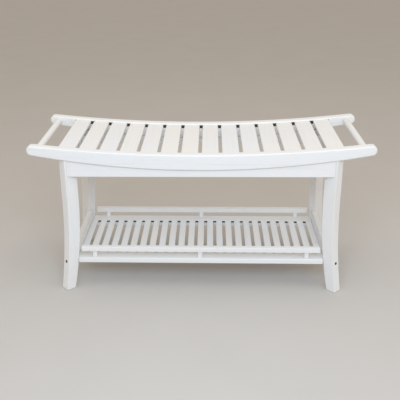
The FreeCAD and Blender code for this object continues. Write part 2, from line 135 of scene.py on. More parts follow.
def linear(code: str) -> tuple[float, float, float, float]:
    """Turn an sRGB hex code into a linear colour.

    Args:
        code: Colour such as "#EDEAE5".

    Returns:
        Red, green, blue and an alpha of 1.
    """
    channels = []
    for start in (1, 3, 5):
        value = int(code[start:start + 2], 16) / SRGB_TOP
        curved = ((value + SRGB_OFFSET) / (1.0 + SRGB_OFFSET)) ** SRGB_POWER
        channels.append(value / SRGB_SLOPE if value <= SRGB_KNEE else curved)
    return channels[0], channels[1], channels[2], 1.0


def repeats(millimetres: float) -> float:
    """Texture scale, in repeats per metre, of a pattern of that real size."""
    return MILLIMETRES_PER_METRE / millimetres


def add_node(tree: bpy.types.NodeTree, kind: str, sockets: dict[Any, Any] | None = None,
             **settings: Any) -> bpy.types.Node:
    """Add a node with its settings, and fill its sockets with links or constants.

    Args:
        tree: Node tree that gets the node.
        kind: The node's type name.
        sockets: Input name or index, and the socket linked to it or its constant.
        settings: Properties of the node itself.

    Returns:
        The new node.
    """
    node = tree.nodes.new(kind)
    for name, value in settings.items():
        setattr(node, name, value)
    for key, value in (sockets or {}).items():
        if isinstance(value, Socket):
            tree.links.new(value, node.inputs[key])
        else:
            node.inputs[key].default_value = value
    return node


def new_shader(name: str) -> tuple[bpy.types.Material, bpy.types.NodeTree, bpy.types.Node]:
    """Start a material that holds one Principled shader.

    Args:
        name: The material's name.

    Returns:
        The material, its node tree and the shader node.
    """
    material = bpy.data.materials.new(name)
    material.use_nodes = True
    tree = material.node_tree
    tree.nodes.clear()
    shader = add_node(tree, "ShaderNodeBsdfPrincipled")
    add_node(tree, "ShaderNodeOutputMaterial", {"Surface": shader.outputs["BSDF"]})
    return material, tree, shader


# Finishes

@dataclass(frozen=True)
class PaintedHardwood:
    """Hardwood under sprayed white satin paint.

    The paint gives an even soft white, a little warmer in some patches and cooler in others. The grain
    shows only as faint lines along each board, and the film is thinner and creamier on the eased edges.
    """

    name: str = PAINT_SLOT
    warm: str = "#F0EDE7"
    cool: str = "#EBEDEF"
    grain_line: str = "#DFDAD1"
    thin_edge: str = "#E2DACB"
    patch_size: float = 170.0         # millimetres across one warm or cool patch
    grain_width: float = 9.0          # wider than the real pores, which are too fine to show
    grain_stretch: float = 24.0       # how much longer a grain line is than wide
    grain_detail: float = 5.0         # octaves of finer noise
    patch_detail: float = 2.0
    peel_detail: float = 1.0
    noise_roughness: float = 0.55     # how strong the finer octaves are
    peel_size: float = 5.0            # the sprayed film's dimples, drawn larger than life so that they show
    line_span: tuple[float, float] = (0.52, 0.72)     # noise over which a grain line appears
    gloss_span: tuple[float, float] = (0.3, 0.7)      # noise over which the gloss changes
    grain_share: float = 0.34
    edge_share: float = 0.5
    tone_share: float = 0.3
    roughness_range: tuple[float, float] = (0.36, 0.52)
    index_of_refraction: float = 1.5
    bump_strength: float = 0.35
    bump_height: float = 0.0006

    def material(self, grain: Grain) -> bpy.types.Material:
        """Make the paint for boards whose grain runs along one axis.

        Args:
            grain: Axis of the fibres.

        Returns:
            The finished material.
        """
        material, tree, shader = new_shader(f"{self.name}_{word(grain)}")
        place = add_node(tree, "ShaderNodeTexCoord").outputs["Object"]
        stretch = [1.0, 1.0, 1.0]
        stretch[grain.value] = 1.0 / self.grain_stretch
        along = add_node(tree, "ShaderNodeMapping", {"Vector": place, "Scale": stretch})
        lines = self.noise(tree, along.outputs["Vector"], self.grain_width, self.grain_detail)
        patch = self.noise(tree, place, self.patch_size, self.patch_detail)
        peel = self.noise(tree, place, self.peel_size, self.peel_detail)
        tint = self.colour(tree, lines, patch)
        roughness = add_node(tree, "ShaderNodeMapRange", {
            "Value": lines, "From Min": self.gloss_span[0], "From Max": self.gloss_span[1],
            "To Min": self.roughness_range[0], "To Max": self.roughness_range[1]})
        relief = add_node(tree, "ShaderNodeMath", {0: lines, 1: peel}, operation="ADD")
        bump = add_node(tree, "ShaderNodeBump", {
            "Height": relief.outputs[0], "Strength": self.bump_strength, "Distance": self.bump_height})
        tree.links.new(tint, shader.inputs["Base Color"])
        tree.links.new(roughness.outputs["Result"], shader.inputs["Roughness"])
        tree.links.new(bump.outputs["Normal"], shader.inputs["Normal"])
        shader.inputs["IOR"].default_value = self.index_of_refraction
        return material

    def noise(self, tree: bpy.types.NodeTree, place: Socket, size: float, detail: float) -> Socket:
        """Add noise of a real size.

        Args:
            tree: The material's nodes.
            place: Coordinates in metres.
            size: Size of one blotch in millimetres.
            detail: Octaves of finer noise.

        Returns:
            The noise's strength.
        """
        node = add_node(tree, "ShaderNodeTexNoise", {
            "Vector": place, "Scale": repeats(size), "Detail": detail, "Roughness": self.noise_roughness})
        return node.outputs["Fac"]

    def colour(self, tree: bpy.types.NodeTree, lines: Socket, patch: Socket) -> Socket:
        """Mix the paint's colour from its patches, grain lines, board tone and thin edges.

        Args:
            tree: The material's nodes.
            lines: Strength of the grain lines.
            patch: Strength of the warm and cool patches.

        Returns:
            The colour.
        """
        tone = add_node(tree, "ShaderNodeAttribute", attribute_name="board_tone").outputs["Fac"]
        edge = add_node(tree, "ShaderNodeAttribute", attribute_name="arris").outputs["Fac"]
        shift = add_node(tree, "ShaderNodeMath", {0: tone, 1: self.tone_share, 2: patch},
                         operation="MULTIPLY_ADD", use_clamp=True)
        body = add_node(tree, "ShaderNodeMix", {
            MIX_FACTOR: shift.outputs[0], MIX_FIRST: linear(self.warm), MIX_SECOND: linear(self.cool)},
            data_type="RGBA")
        depth = add_node(tree, "ShaderNodeMapRange", {
            "Value": lines, "From Min": self.line_span[0], "From Max": self.line_span[1],
            "To Min": 0.0, "To Max": self.grain_share})
        grained = add_node(tree, "ShaderNodeMix", {
            MIX_FACTOR: depth.outputs["Result"], MIX_FIRST: body.outputs[MIX_RESULT],
            MIX_SECOND: linear(self.grain_line)}, data_type="RGBA")
        thin = add_node(tree, "ShaderNodeMath", {0: edge, 1: patch}, operation="MULTIPLY")
        thin = add_node(tree, "ShaderNodeMath", {0: thin.outputs[0], 1: self.edge_share},
                        operation="MULTIPLY")
        worn = add_node(tree, "ShaderNodeMix", {
            MIX_FACTOR: thin.outputs[0], MIX_FIRST: grained.outputs[MIX_RESULT],
            MIX_SECOND: linear(self.thin_edge)}, data_type="RGBA")
        return worn.outputs[MIX_RESULT]


@dataclass(frozen=True)
class SpeckledFinish:
    """Finish of two colours that one noise mixes. The noise can drive gloss and relief too.

    Attributes:
        name: The material's name.
        weak: Colour where the noise is weak.
        strong: Colour where the noise is strong.
        speck_size: Millimetres across one speck.
        detail: Octaves of finer noise.
        stretch: How much longer a speck is upright than across.
        roughness: Roughness all over, or least and greatest roughness.
        metallic: 1 for a bare metal.
        bump_strength: How much of the relief shows.
        bump_height: Depth of the relief in metres, and zero where there is none.
    """

    name: str
    weak: str
    strong: str
    speck_size: float
    detail: float = 3.0
    stretch: float = 1.0
    roughness: tuple[float, ...] = (0.9,)
    metallic: float = 0.0
    bump_strength: float = 0.0
    bump_height: float = 0.0

    def material(self) -> bpy.types.Material:
        """Make the finish from its noise.

        Returns:
            The finished material.
        """
        material, tree, shader = new_shader(self.name)
        place = add_node(tree, "ShaderNodeTexCoord").outputs["Object"]
        along = add_node(tree, "ShaderNodeMapping", {
            "Vector": place, "Scale": (1.0, 1.0, 1.0 / self.stretch)})
        specks = add_node(tree, "ShaderNodeTexNoise", {
            "Vector": along.outputs["Vector"], "Scale": repeats(self.speck_size), "Detail": self.detail})
        strength = specks.outputs["Fac"]
        tint = add_node(tree, "ShaderNodeMix", {
            MIX_FACTOR: strength, MIX_FIRST: linear(self.weak), MIX_SECOND: linear(self.strong)},
            data_type="RGBA")
        tree.links.new(tint.outputs[MIX_RESULT], shader.inputs["Base Color"])
        shader.inputs["Metallic"].default_value = self.metallic
        shader.inputs["Roughness"].default_value = self.roughness[0]
        if len(self.roughness) > 1:
            gloss = add_node(tree, "ShaderNodeMapRange", {
                "Value": strength, "To Min": self.roughness[0], "To Max": self.roughness[1]})
            tree.links.new(gloss.outputs["Result"], shader.inputs["Roughness"])
        if self.bump_height:
            bump = add_node(tree, "ShaderNodeBump", {
                "Height": strength, "Strength": self.bump_strength, "Distance": self.bump_height})
            tree.links.new(bump.outputs["Normal"], shader.inputs["Normal"])
        return material


@dataclass(frozen=True)
class ZincSteel(SpeckledFinish):
    """Zinc plated steel, as on furniture bolts and screws: a pale blue-grey metal with cloudy spangle."""

    name: str = STEEL_SLOT
    weak: str = "#8F9398"
    strong: str = "#C3C6CA"
    speck_size: float = 3.0           # one cloud of the plating
    detail: float = 4.0
    roughness: tuple[float, ...] = (0.28, 0.5)
    metallic: float = 1.0
    bump_strength: float = 0.3
    bump_height: float = 0.0001


@dataclass(frozen=True)
class BareBeech(SpeckledFinish):
    """Turned beech without a finish: pinkish straw with short dark flecks along the upright pins."""

    name: str = "beech"
    weak: str = "#D2B48C"
    strong: str = "#A87C52"
    speck_size: float = 1.2
    stretch: float = 6.0
    roughness: tuple[float, ...] = (0.6,)


@dataclass(frozen=True)
class CutWoodPaintedShade(SpeckledFinish):
    """Wall of a drilled hole or a groove: bare brown hardwood, matt and rough where the cutter tore it, and
    darker than bare wood as painted shade inside the hollow.
    """

    name: str = "cut_wood_painted_shade"
    # both browns are bare wood painted darker, as painted shade in the hollows
    weak: str = "#3F2F21"
    strong: str = "#6E573F"
    speck_size: float = 1.6
    bump_strength: float = 0.6
    bump_height: float = 0.0003


@dataclass(frozen=True)
class StudioFloor(SpeckledFinish):
    """Matt studio floor: one pale warm grey with the faintest mottle."""

    name: str = "studio_floor"
    weak: str = "#C9C5BF"
    strong: str = "#C3BFB9"
    speck_size: float = 260.0


class Palette:
    """The bench's finishes, each made once and shared."""

    def __init__(self) -> None:
        """Make every material."""
        paint = PaintedHardwood()
        self.paint = {grain: paint.material(grain) for grain in Grain}
        self.steel = ZincSteel().material()
        self.beech = BareBeech().material()
        # bare wood darkened as painted shade, for the walls of holes and grooves
        self.cut = CutWoodPaintedShade().material()
        self.floor = StudioFloor().material()


# Shapes

@dataclass(frozen=True)
class Arch:
    """Long shallow arc that is lowest at mid length.

    Attributes:
        low: Height of the lowest point.
        radius: Radius of the arc.
    """

    low: float
    radius: float

    @classmethod
    def over(cls, low: float, half_width: float, rise: float) -> "Arch":
        """Arc that climbs by rise over half_width."""
        return cls(low, arch_radius(half_width, rise))

    def height(self, x: float) -> float:
        """Height of the arc at a distance x from mid length."""
        return self.low + arch_rise(self.radius, x)

    def lowered(self, drop: float) -> "Arch":
        """Parallel arc, drop below this one."""
        return Arch(self.low - drop, self.radius + drop)


def arch_radius(half_width: float, rise: float) -> float:
    """Radius of an arc that climbs by rise over half_width."""
    return (half_width ** 2 + rise ** 2) / (2.0 * rise)


def arch_rise(radius: float, x: float) -> float:
    """Climb of an arc of that radius at a distance x from its lowest point."""
    return radius - math.sqrt(radius ** 2 - x ** 2)


def band(lower: Arch, upper: Arch, line: Sequence[float]) -> list[Point]:
    """Closed outline between two arcs, along a row of distances from mid length."""
    return [(x, lower.height(x)) for x in line] + [(x, upper.height(x)) for x in line[::-1]]


def spread(start: float, end: float, count: int) -> list[float]:
    """Evenly spaced values from start to end, both included."""
    return [start + (end - start) * step / (count - 1) for step in range(count)]


def corner_at(outline: Sequence[Point], index: int) -> tuple[Vector, Vector, Vector]:
    """Find a corner of a closed outline and how the outline turns there.

    Args:
        outline: The corner points.
        index: Which corner.

    Returns:
        The corner, the direction that arrives at it and the direction that leaves it.
    """
    here = Vector(outline[index])
    arriving = (here - Vector(outline[index - 1])).normalized()
    leaving = (Vector(outline[(index + 1) % len(outline)]) - here).normalized()
    return here, arriving, leaving


def softened(outline: Sequence[Point], radius: float) -> list[Point]:
    """Round the sharp corners of a closed outline.

    Args:
        outline: Counter-clockwise corner points.
        radius: Radius of each rounded corner.

    Returns:
        The outline with each sharp corner as a short arc.
    """
    result: list[Point] = []
    for index, corner in enumerate(outline):
        here, arriving, leaving = corner_at(outline, index)
        turn = math.atan2(arriving.cross(leaving), arriving.dot(leaving))
        if turn < SHARP_ANGLE / 2:
            result.append(corner)
            continue
        start = here - arriving * radius * math.tan(turn / 2)
        centre = start + Vector((-arriving.y, arriving.x)) * radius
        for angle in spread(0.0, turn, ARRIS_STEPS + 1):
            spoke = start - centre
            spoke.rotate(Matrix.Rotation(angle, 2))
            result.append(tuple(centre + spoke))
    return result


def inset(outline: Sequence[Point], distance: float) -> list[Vector]:
    """Move a closed outline inwards.

    Args:
        outline: Points in counter-clockwise order.
        distance: How far in.

    Returns:
        One moved point for each point of the outline.
    """
    moved = []
    for index in range(len(outline)):
        here, arriving, leaving = corner_at(outline, index)
        normals = Vector((arriving.y, -arriving.x)), Vector((leaving.y, -leaving.x))
        mitre = (normals[0] + normals[1]) / (1.0 + normals[0].dot(normals[1]))
        moved.append(here - mitre * distance)
    return moved


def upright(face: Face, outer: float) -> Place:
    """Place for a board on edge along X, measured in from its outer face."""
    return lambda u, v, w: Vector((u, face.value * (outer - w), v))


def standing(bottom: float, side: int = 1, face: int = 1) -> Place:
    """Place for a board drawn in plan and raised from its underside, mirrored to its side and face."""
    return lambda u, v, w: Vector((side * u, face * v, bottom + w))


def new_piece(name: str, mesh: bpy.types.Mesh) -> bpy.types.Object:
    """Put a mesh into the scene as an object at the origin.

    Args:
        name: The piece's name.
        mesh: Its mesh.

    Returns:
        The new object.
    """
    piece = bpy.data.objects.new(name, mesh)
    bpy.context.scene.collection.objects.link(piece)
    return piece


def mesh_from(name: str, shape: bmesh.types.BMesh) -> bpy.types.Mesh:
    """Write a finished bmesh, with its faces turned outwards, to a new mesh.

    Args:
        name: The mesh's name.
        shape: The finished bmesh, which is freed.

    Returns:
        The new mesh.
    """
    bmesh.ops.recalc_face_normals(shape, faces=shape.faces)
    mesh = bpy.data.meshes.new(name)
    shape.to_mesh(mesh)
    shape.free()
    return mesh


class Form:
    """Shape of a wooden piece, or of what a cutter takes out of one: a stack of rings under one skin."""

    ladder: bool = False              # whether the end rings are filled with rungs

    def rings(self) -> list[list[Vector]]:
        """Closed outlines of the form, from one end to the other."""
        raise NotImplementedError

    def solid(self, name: str) -> bpy.types.Object:
        """Stretch a closed skin over the rings.

        Args:
            name: The piece's name.

        Returns:
            The piece.
        """
        shape = bmesh.new()
        loops = [[shape.verts.new(point) for point in ring] for ring in self.rings()]
        count = len(loops[0])
        for lower, upper in zip(loops, loops[1:]):
            for index in range(count):
                following = (index + 1) % count
                shape.faces.new((lower[index], lower[following], upper[following], upper[index]))
        for loop in (loops[0], loops[-1]):
            if not self.ladder:
                shape.faces.new(loop)
                continue
            for index in range(count // 2 - 1):
                shape.faces.new((loop[index], loop[index + 1], loop[-2 - index], loop[-1 - index]))
        return new_piece(name, mesh_from(name, shape))


@dataclass(frozen=True)
class Board(Form):
    """Board cut to an outline, with eased arrises on both faces.

    Attributes:
        outline: Counter-clockwise points of the board's face.
        thickness: Depth of the board behind that face.
        arris: Radius of the eased edges.
        place: Turns outline coordinates and depth into a point of the bench.
        ladder: Fill the faces with rungs between the first and last points, for a long curved board.
    """

    outline: Sequence[Point]
    thickness: float
    arris: float
    place: Place
    ladder: bool = False

    def rings(self) -> list[list[Vector]]:
        """Draw the outline at each depth, moved in round the arrises of both faces.

        Returns:
            The rings from the front face to the back.
        """
        turns = spread(0.0, math.pi / 2, ARRIS_STEPS + 1)
        levels = [(self.arris * (1 - math.sin(turn)), self.arris * (1 - math.cos(turn))) for turn in turns]
        levels += [(amount, self.thickness - depth) for amount, depth in reversed(levels)]
        return [[self.place(point.x, point.y, depth) for point in inset(self.outline, amount)]
                for amount, depth in levels]


@dataclass(frozen=True)
class Turned(Form):
    """Piece turned on a lathe, or the round plug that a drill takes away.

    Attributes:
        profile: Distance along the axis and radius, from one end to the other.
        start: Where the axis starts.
        direction: Unit vector along the axis.
        steps: Flats round the piece.
    """

    profile: Sequence[Point]
    start: Vector
    direction: Vector
    steps: int

    def rings(self) -> list[list[Vector]]:
        """Draw a circle for each point of the profile.

        Returns:
            The rings along the axis.
        """
        across = self.direction.orthogonal().normalized()
        other = self.direction.cross(across)
        angles = [2 * math.pi * step / self.steps for step in range(self.steps)]
        spokes = [across * math.cos(angle) + other * math.sin(angle) for angle in angles]
        return [[self.start + self.direction * along + spoke * radius for spoke in spokes]
                for along, radius in self.profile]


def hole(floor: Vector, direction: Vector, length: float, diameter: float) -> Turned:
    """What a drill takes away: floor is the hole's far end, and length reaches beyond its mouth."""
    return Turned([(0.0, diameter / 2), (length, diameter / 2)], floor, direction, HOLE_STEPS)


def applied(piece: bpy.types.Object) -> bpy.types.Object:
    """Turn a piece and its modifiers into a plain mesh.

    Args:
        piece: Object whose modifiers are done.

    Returns:
        The same object, with no modifiers.
    """
    graph = bpy.context.evaluated_depsgraph_get()
    mesh = bpy.data.meshes.new_from_object(piece.evaluated_get(graph), preserve_all_data_layers=True,
                                           depsgraph=graph)
    piece.modifiers.clear()
    piece.data = mesh
    return piece


def hollow_out(piece: bpy.types.Object, hollows: Sequence[Form], paint: bpy.types.Material,
               wall: bpy.types.Material) -> None:
    """Cut holes or grooves in a painted board.

    Args:
        piece: The board.
        hollows: What is taken away, which must not meet.
        paint: The board's finish.
        wall: The finish inside the hollows: bare wood darkened as painted shade.
    """
    piece.data.materials.append(paint)
    cutters = [form.solid("hollow") for form in hollows]
    for cutter in cutters:
        cutter.data.materials.append(wall)
        cut = piece.modifiers.new("hollow", "BOOLEAN")
        cut.operation = "DIFFERENCE"
        cut.solver = "EXACT"
        cut.material_mode = "TRANSFER"
        cut.object = cutter
    applied(piece)
    for cutter in cutters:
        bpy.data.objects.remove(cutter)


def mark_arrises(mesh: bpy.types.Mesh) -> None:
    """Store where the surface turns round an eased edge, for the paint to follow.

    Args:
        mesh: A piece's mesh, which gets the attribute.
    """
    shape = bmesh.new()
    shape.from_mesh(mesh)
    low, high = ARRIS_ANGLES
    values = []
    for vert in shape.verts:
        turn = max((edge.calc_face_angle(0.0) for edge in vert.link_edges), default=0.0)
        eased = low < turn < SHARP_ANGLE
        values.append(min((turn - low) / (high - low), 1.0) if eased else 0.0)
    shape.free()
    mesh.attributes.new("arris", "FLOAT", "POINT").data.foreach_set("value", values)


def dress(piece: bpy.types.Object, material: bpy.types.Material, slot: str, *nodes: str) -> None:
    """Finish a piece: smooth arrises, material, and the solids that it stands for.

    Args:
        piece: Object with its final shape.
        material: Its finish, for a piece that has none yet.
        slot: The record's name of that finish; not used.
        nodes: Names of the solids that the piece stands for.
    """
    mesh = piece.data
    mark_arrises(mesh)
    mesh.shade_smooth()
    mesh.set_sharp_from_angle(angle=SHARP_ANGLE)
    weighted = piece.modifiers.new("even_normals", "WEIGHTED_NORMAL")
    weighted.keep_sharp = True
    applied(piece)
    piece.data.name = piece.name
    if not piece.data.materials:
        piece.data.materials.append(material)
    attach(piece, BODY)
    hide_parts(*nodes)
    LOG.info("%s stands for %s", piece.name, ", ".join(nodes))


# Geometry Nodes

class NodeRow:
    """Row of like pieces, made by one node tree that each kind of row draws for itself."""

    NAME: str
    INPUTS: dict[str, str]

    def __init__(self) -> None:
        """Start the tree with its named inputs, and draw it."""
        self.tree = bpy.data.node_groups.new(self.NAME, "GeometryNodeTree")
        self.ids: dict[str, str] = {}
        for name, kind in self.INPUTS.items():
            socket = self.tree.interface.new_socket(name, in_out="INPUT", socket_type="NodeSocket" + kind)
            self.ids[name] = socket.identifier
        self.tree.interface.new_socket("Geometry", in_out="OUTPUT", socket_type="NodeSocketGeometry")
        self.given = add_node(self.tree, "NodeGroupInput").outputs
        self.draw()

    def draw(self) -> None:
        """Add the nodes of this kind of row."""
        raise NotImplementedError

    def math(self, operation: str, *values: Any) -> Socket:
        """Result of one sum on links or constants."""
        node = add_node(self.tree, "ShaderNodeMath", dict(enumerate(values)), operation=operation)
        return node.outputs[0]

    def vector(self, **parts: Any) -> Socket:
        """Vector put together from links or constants, with zero for what is left out."""
        return add_node(self.tree, "ShaderNodeCombineXYZ", parts).outputs[0]

    def realized(self, row: Socket, finish: Socket) -> None:
        """End the tree: join the copies in one mesh and give it its finish.

        Args:
            row: The copies.
            finish: Their material.
        """
        joined = add_node(self.tree, "GeometryNodeRealizeInstances", {"Geometry": row})
        finished = add_node(self.tree, "GeometryNodeSetMaterial", {
            "Geometry": joined.outputs["Geometry"], "Material": finish})
        add_node(self.tree, "NodeGroupOutput", {"Geometry": finished.outputs["Geometry"]})

    def piece(self, mesh: bpy.types.Mesh, values: dict[str, Any]) -> bpy.types.Object:
        """Make one row.

        Args:
            mesh: Named for the piece; its points carry the copies where the tree asks for them.
            values: The tree's inputs by name.

        Returns:
            The row as a plain mesh.
        """
        piece = new_piece(mesh.name, mesh)
        modifier = piece.modifiers.new(self.NAME, "NODES")
        modifier.node_group = self.tree
        for key, value in values.items():
            modifier[self.ids[key]] = value
        slots = applied(piece).data.materials
        for index in reversed(range(len(slots))):
            if slots[index] is None:
                slots.pop(index=index)
        return piece


class SlatRow(NodeRow):
    """Row of like slats along X, flat or dished.

    The tree places the slats on an arc, gives each its own shade of paint, and joins them in one mesh.
    """

    NAME = "slat_row"
    INPUTS = {"Count": "Int", "Pitch": "Float", "Radius": "Float", "Height": "Float", "Width": "Float",
              "Thickness": "Float", "Length": "Float", "Arris": "Float", "Seed": "Int", "Paint": "Material"}

    def draw(self) -> None:
        """Find the places, shape a slat and stand one at each place."""
        places, turn = self.places()
        self.finish(places, turn, self.slat())

    def places(self) -> tuple[Socket, Socket]:
        """Points of the slats' top middles on the arc, and each one's turn about Y.

        Returns:
            The points, and the turn that is stored on them.
        """
        last = self.math("SUBTRACT", self.given["Count"], 1.0)
        reach = self.math("MULTIPLY", last, self.given["Pitch"])
        start = self.vector(X=self.math("MULTIPLY", reach, -0.5))
        row = add_node(self.tree, "GeometryNodeMeshLine", {
            "Count": self.given["Count"], "Start Location": start,
            "Offset": self.vector(X=self.given["Pitch"])})
        spot = add_node(self.tree, "GeometryNodeInputPosition")
        along = add_node(self.tree, "ShaderNodeSeparateXYZ", {0: spot.outputs[0]}).outputs["X"]
        turn = self.math("DIVIDE", along, self.given["Radius"])
        x = self.math("MULTIPLY", self.math("SINE", turn), self.given["Radius"])
        rise = self.math("MULTIPLY", x, self.math("TANGENT", self.math("MULTIPLY", turn, 0.5)))
        height = self.math("ADD", rise, self.given["Height"])
        kept = add_node(self.tree, "GeometryNodeStoreNamedAttribute", {
            "Geometry": row.outputs["Mesh"], "Name": "turn", "Value": self.math("MULTIPLY", turn, -1.0)},
            data_type="FLOAT", domain="POINT")
        moved = add_node(self.tree, "GeometryNodeSetPosition", {
            "Geometry": kept.outputs["Geometry"], "Position": self.vector(X=x, Z=height)})
        stored = add_node(self.tree, "GeometryNodeInputNamedAttribute", {"Name": "turn"}, data_type="FLOAT")
        return moved.outputs["Geometry"], stored.outputs["Attribute"]

    def slat(self) -> Socket:
        """One slat along Y with eased long edges, its top middle at the origin.

        Returns:
            The slat's mesh.
        """
        half = self.math("MULTIPLY", self.given["Length"], 0.5)
        middle = self.math("MULTIPLY", self.given["Thickness"], -0.5)
        ends = []
        for sign in (-1.0, 1.0):
            ends.append(self.vector(Y=self.math("MULTIPLY", half, sign), Z=middle))
        spine = add_node(self.tree, "GeometryNodeCurvePrimitiveLine", {"Start": ends[0], "End": ends[1]})
        section = add_node(self.tree, "GeometryNodeCurvePrimitiveQuadrilateral", {
            "Width": self.given["Width"], "Height": self.given["Thickness"]})
        eased = add_node(self.tree, "GeometryNodeFilletCurve", {
            "Curve": section.outputs["Curve"], "Count": ARRIS_STEPS, "Radius": self.given["Arris"]},
            mode="POLY")
        solid = add_node(self.tree, "GeometryNodeCurveToMesh", {
            "Curve": spine.outputs["Curve"], "Profile Curve": eased.outputs["Curve"], "Fill Caps": True})
        return solid.outputs["Mesh"]

    def finish(self, places: Socket, turn: Socket, slat: Socket) -> None:
        """Stand a slat at every place, shade each, join them and paint them.

        Args:
            places: Points that carry the slats.
            turn: Each slat's turn about Y.
            slat: The slat's mesh.
        """
        row = add_node(self.tree, "GeometryNodeInstanceOnPoints", {
            "Points": places, "Instance": slat, "Rotation": self.vector(Y=turn)})
        shade = add_node(self.tree, "FunctionNodeRandomValue", {
            RANDOM_LEAST: -1.0, RANDOM_MOST: 1.0, "Seed": self.given["Seed"]}, data_type="FLOAT")
        shaded = add_node(self.tree, "GeometryNodeStoreNamedAttribute", {
            "Geometry": row.outputs["Instances"], "Name": "board_tone",
            "Value": shade.outputs[RANDOM_RESULT]}, data_type="FLOAT", domain="INSTANCE")
        self.realized(shaded.outputs["Geometry"], self.given["Paint"])


class ScrewRow(NodeRow):
    """Pan-head wood screws with a cross recess, one at every point of a mesh, turned along its aim."""

    NAME = "screw_row"
    INPUTS = {"Points": "Geometry", "Length": "Float", "Shank": "Float", "Head": "Float",
              "Head Height": "Float", "Steel": "Material"}
    SIDES = 24
    DOME_STEPS = 5
    DOME_SHARE = 0.55                 # how much of its squared width the head loses at its top
    TIP_SHARE = 0.6                   # shank's width at the tip
    RECESS_LENGTH_SHARE = 0.56        # of the head's diameter
    RECESS_WIDTH_SHARE = 0.12
    RECESS_DEPTH_SHARE = 0.6          # of the head's height

    def draw(self) -> None:
        """Shape one screw, head first, and stand it at each point."""
        screw = add_node(self.tree, "GeometryNodeJoinGeometry", {"Geometry": self.shank()})
        self.tree.links.new(self.recessed(self.head()), screw.inputs["Geometry"])
        aim = add_node(self.tree, "GeometryNodeInputNamedAttribute", {"Name": "aim"},
                       data_type="FLOAT_VECTOR")
        turn = add_node(self.tree, "FunctionNodeAlignRotationToVector", {
            "Vector": aim.outputs["Attribute"]}, axis="Z")
        row = add_node(self.tree, "GeometryNodeInstanceOnPoints", {
            "Points": self.given["Points"], "Instance": screw.outputs["Geometry"],
            "Rotation": turn.outputs["Rotation"]})
        self.realized(row.outputs["Instances"], self.given["Steel"])

    def cone(self, bottom: Socket, top: Socket, depth: Socket, steps: int) -> Socket:
        """Round bar up from the origin, straight or tapered."""
        node = add_node(self.tree, "GeometryNodeMeshCone", {
            "Vertices": self.SIDES, "Side Segments": steps, "Radius Bottom": bottom, "Radius Top": top,
            "Depth": depth})
        return node.outputs["Mesh"]

    def shank(self) -> Socket:
        """Shank that narrows to its tip.

        Returns:
            The shank's mesh.
        """
        radius = self.math("MULTIPLY", self.given["Shank"], 0.5)
        tip = self.math("MULTIPLY", radius, self.TIP_SHARE)
        return self.cone(radius, tip, self.given["Length"], 1)

    def head(self) -> Socket:
        """Head under the origin, domed towards its top.

        Returns:
            The head's mesh.
        """
        radius = self.math("MULTIPLY", self.given["Head"], 0.5)
        blank = self.cone(radius, radius, self.given["Head Height"], self.DOME_STEPS)
        spot = add_node(self.tree, "GeometryNodeInputPosition").outputs[0]
        parts = add_node(self.tree, "ShaderNodeSeparateXYZ", {0: spot}).outputs
        rise = self.math("DIVIDE", parts["Z"], self.given["Head Height"])
        loss = self.math("MULTIPLY", self.math("MULTIPLY", rise, rise), self.DOME_SHARE)
        width = self.math("SQRT", self.math("SUBTRACT", 1.0, loss))
        turned = self.vector(X=self.math("MULTIPLY", parts["X"], width),
                             Y=self.math("MULTIPLY", self.math("MULTIPLY", parts["Y"], width), -1.0),
                             Z=self.math("MULTIPLY", parts["Z"], -1.0))
        domed = add_node(self.tree, "GeometryNodeSetPosition", {"Geometry": blank, "Position": turned})
        return domed.outputs["Geometry"]

    def recessed(self, head: Socket) -> Socket:
        """Head with a cross cut into its top.

        Args:
            head: The plain head.

        Returns:
            The head with its recess.
        """
        length = self.math("MULTIPLY", self.given["Head"], self.RECESS_LENGTH_SHARE)
        width = self.math("MULTIPLY", self.given["Head"], self.RECESS_WIDTH_SHARE)
        depth = self.math("MULTIPLY", self.given["Head Height"], 2.0 * self.RECESS_DEPTH_SHARE)
        top = self.vector(Z=self.math("MULTIPLY", self.given["Head Height"], -1.0))
        for size in (self.vector(X=length, Y=width, Z=depth), self.vector(X=width, Y=length, Z=depth)):
            bar = add_node(self.tree, "GeometryNodeMeshCube", {"Size": size})
            placed = add_node(self.tree, "GeometryNodeTransform", {
                "Geometry": bar.outputs["Mesh"], "Translation": top})
            cut = add_node(self.tree, "GeometryNodeMeshBoolean", {
                "Mesh 1": head, "Mesh 2": placed.outputs["Geometry"]},
                operation="DIFFERENCE", solver="EXACT")
            head = cut.outputs["Mesh"]
        return head


@dataclass
class Screws:
    """Sizes of the wood screws, and how a row of them is made.

    Attributes:
        palette: The finishes.
        row: The node tree that makes them.
        shank: Diameter of a shank.
        head: Diameter of a head.
        head_height: Height of a head.
    """

    palette: Palette
    row: ScrewRow
    shank: float = 0.004
    head: float = 0.008
    head_height: float = 0.0025

    def drive(self, node: str, places: Sequence[Aimed], length: float) -> None:
        """Make the screws of one node.

        Args:
            node: The solids that they stand for.
            places: Point under each head, and the direction of its shank.
            length: Length under the head.
        """
        mesh = bpy.data.meshes.new("steel_" + node)
        mesh.from_pydata([point for point, aim in places], [], [])
        aims = [part for point, aim in places for part in aim]
        mesh.attributes.new("aim", "FLOAT_VECTOR", "POINT").data.foreach_set("vector", aims)
        screws = self.row.piece(mesh, {"Length": length, "Shank": self.shank, "Head": self.head,
                                       "Head Height": self.head_height, "Steel": self.palette.steel})
        dress(screws, self.palette.steel, STEEL_SLOT, node)


# The bench

